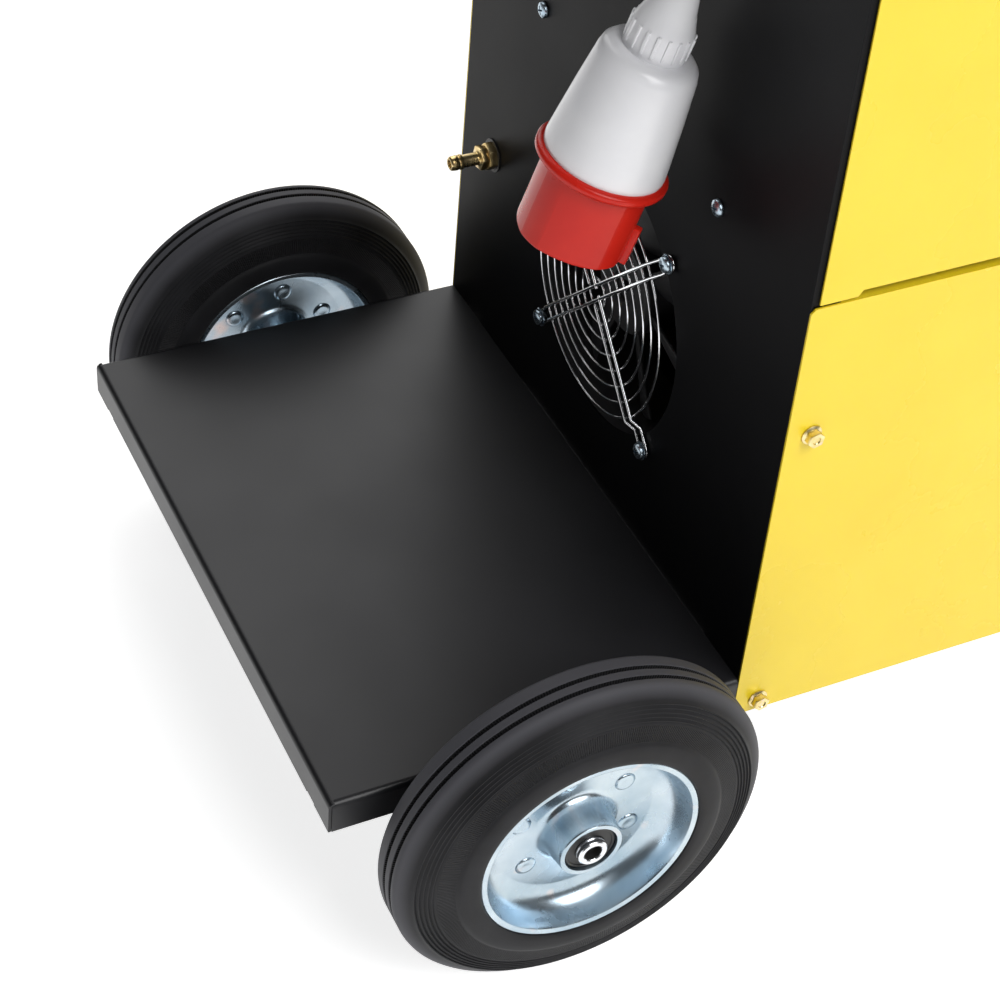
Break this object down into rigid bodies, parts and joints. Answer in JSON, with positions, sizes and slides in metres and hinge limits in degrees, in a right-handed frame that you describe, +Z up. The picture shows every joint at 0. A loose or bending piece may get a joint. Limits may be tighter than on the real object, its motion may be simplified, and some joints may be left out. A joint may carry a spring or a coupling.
{
  "type": "welding machine",
  "caption": "Three-phase gas-shielded welding machine on wheels, with a rear gas cylinder platform, a guarded fan, a hinged wire compartment door and a coiled mains cord.",
  "frame": {"origin": "on the floor, under the middle of the machine measured without its mains cord", "axes": "+Z up; +Y towards the rear panel and the cylinder platform; -Y towards the controls; -X is the side of the wire compartment door"},
  "size_m": [0.58, 0.944, 0.86],
  "materials": {
    "black_powder": "satin powder coat",
    "yellow_powder": "gloss powder coat",
    "zinc": "bright zinc plate",
    "yellow_zinc": "yellow zinc plate",
    "chrome": "bright chrome",
    "brass": "turned brass",
    "tyre": "solid rubber",
    "caster_tread": "grey rubber",
    "grey_sheet": "satin",
    "black_plastic": "moulded, matte",
    "panel_plastic": "fine grain",
    "red_plastic": "moulded, gloss",
    "light_plastic": "moulded, gloss",
    "red_knob": "moulded",
    "roll_steel": "ground",
    "feed_alu": "cast and machined",
    "motor_black": "satin",
    "core_iron": "varnished laminations",
    "coil_copper": "varnished winding",
    "heatsink": "extruded",
    "board": "board",
    "cord_rubber": "matte rubber"
  },
  "bodies": {
    "chassis": {"base_tray": "black_powder", "rear_panel": "black_powder", "cylinder_platform": "black_powder", "axle_brackets": "black_powder", "rear_axle": "zinc", "lower_side_left": "yellow_powder", "lower_side_right": "yellow_powder", "upper_side_right": "yellow_powder", "top_cover": "black_powder", "front_panel": "black_powder", "control_panel": "panel_plastic", "bulkhead": "grey_sheet", "push_handle": "black_powder", "cylinder_bracket": "black_powder", "door_hinge_fixed": "zinc", "spool_spindle": "roll_steel", "feed_plate": "feed_alu", "feed_motor": "motor_black", "transformer_core": "core_iron", "transformer_coils": "coil_copper", "choke": "core_iron", "rectifier": "heatsink", "control_board": "board", "fan_frame": "motor_black", "fan_guard": "chrome", "guard_screws": "zinc", "gas_nipple": "brass", "gas_valve": "brass", "cable_gland": "black_plastic", "cord_lead": "cord_rubber", "cord_coil": "cord_rubber", "cord_tail": "cord_rubber", "plug_shroud": "red_plastic", "plug_body": "light_plastic", "plug_pins": "brass", "panel_screws": "zinc", "side_bolts": "yellow_zinc", "caster_plates": "zinc", "torch_socket": "brass", "earth_sockets": "black_plastic"},
    "wheel_left": {"tyre_left": "tyre", "rim_left": "zinc"},
    "wheel_right": {"tyre_right": "tyre", "rim_right": "zinc"},
    "caster_left": {"caster_fork_left": "zinc"},
    "caster_right": {"caster_fork_right": "zinc"},
    "caster_left_wheel": {"caster_wheel_left": "caster_tread"},
    "caster_right_wheel": {"caster_wheel_right": "caster_tread"},
    "fan": {"fan_rotor": "black_plastic"},
    "door": {"feeder_door": "yellow_powder", "door_hinge_moving": "zinc"},
    "latch": {"door_latch": "black_plastic"},
    "spool": {"spool_hub": "black_plastic"},
    "feed_roll": {"drive_roll": "roll_steel"},
    "arm": {"pressure_arm": "black_plastic"},
    "top_roll": {"pressure_roller": "roll_steel"},
    "tension": {"tension_knob": "red_knob"},
    "voltage_switch": {"voltage_knob": "black_plastic"},
    "fine_switch": {"fine_knob": "black_plastic"},
    "speed_control": {"speed_knob": "black_plastic"}
  },
  "joints": [
    {"name": "wheel_left_spin", "type": "hinge", "parent": "chassis", "child": "wheel_left", "pos_m": [-0.26, 0.322, 0.127], "axis": [1, 0, 0], "continuous": true},
    {"name": "wheel_right_spin", "type": "hinge", "parent": "chassis", "child": "wheel_right", "pos_m": [0.26, 0.322, 0.127], "axis": [1, 0, 0], "continuous": true},
    {"name": "caster_left_swivel", "type": "hinge", "parent": "chassis", "child": "caster_left", "pos_m": [-0.165, -0.337, 0.122], "axis": [0, 0, 1], "continuous": true},
    {"name": "caster_right_swivel", "type": "hinge", "parent": "chassis", "child": "caster_right", "pos_m": [0.165, -0.337, 0.122], "axis": [0, 0, 1], "continuous": true},
    {"name": "caster_left_spin", "type": "hinge", "parent": "caster_left", "child": "caster_left_wheel", "pos_m": [-0.165, -0.3, 0.05], "axis": [1, 0, 0], "continuous": true},
    {"name": "caster_right_spin", "type": "hinge", "parent": "caster_right", "child": "caster_right_wheel", "pos_m": [0.165, -0.3, 0.05], "axis": [1, 0, 0], "continuous": true},
    {"name": "fan_spin", "type": "hinge", "parent": "chassis", "child": "fan", "pos_m": [0, 0.16, 0.319], "axis": [0, 1, 0], "continuous": true},
    {"name": "door_swing", "type": "hinge", "parent": "chassis", "child": "door", "pos_m": [-0.229, -0.1, 0.469], "axis": [0, -1, 0], "range_deg": [0, 120]},
    {"name": "latch_turn", "type": "hinge", "parent": "door", "child": "latch", "pos_m": [-0.225, -0.1135, 0.7945], "axis": [-1, 0, 0], "range_deg": [0, 90]},
    {"name": "spool_spin", "type": "hinge", "parent": "chassis", "child": "spool", "pos_m": [-0.08, 0.018, 0.643], "axis": [1, 0, 0], "continuous": true},
    {"name": "feed_roll_spin", "type": "hinge", "parent": "chassis", "child": "feed_roll", "pos_m": [-0.047, -0.327, 0.563], "axis": [1, 0, 0], "continuous": true},
    {"name": "arm_lift", "type": "hinge", "parent": "chassis", "child": "arm", "pos_m": [-0.057, -0.285, 0.5934], "axis": [-1, 0, 0], "range_deg": [0, 60]},
    {"name": "top_roll_spin", "type": "hinge", "parent": "arm", "child": "top_roll", "pos_m": [-0.047, -0.327, 0.5938], "axis": [1, 0, 0], "continuous": true},
    {"name": "tension_turn", "type": "hinge", "parent": "arm", "child": "tension", "pos_m": [-0.05, -0.361, 0.618], "axis": [0, 0, 1], "range_deg": [0, 720]},
    {"name": "voltage_turn", "type": "hinge", "parent": "chassis", "child": "voltage_switch", "pos_m": [0.09, -0.42, 0.652], "axis": [0, 1, 0], "range_deg": [0, 270]},
    {"name": "fine_turn", "type": "hinge", "parent": "chassis", "child": "fine_switch", "pos_m": [0.15, -0.42, 0.652], "axis": [0, 1, 0], "range_deg": [0, 270]},
    {"name": "speed_turn", "type": "hinge", "parent": "chassis", "child": "speed_control", "pos_m": [-0.09, -0.42, 0.652], "axis": [0, 1, 0], "range_deg": [0, 300]}
  ]
}
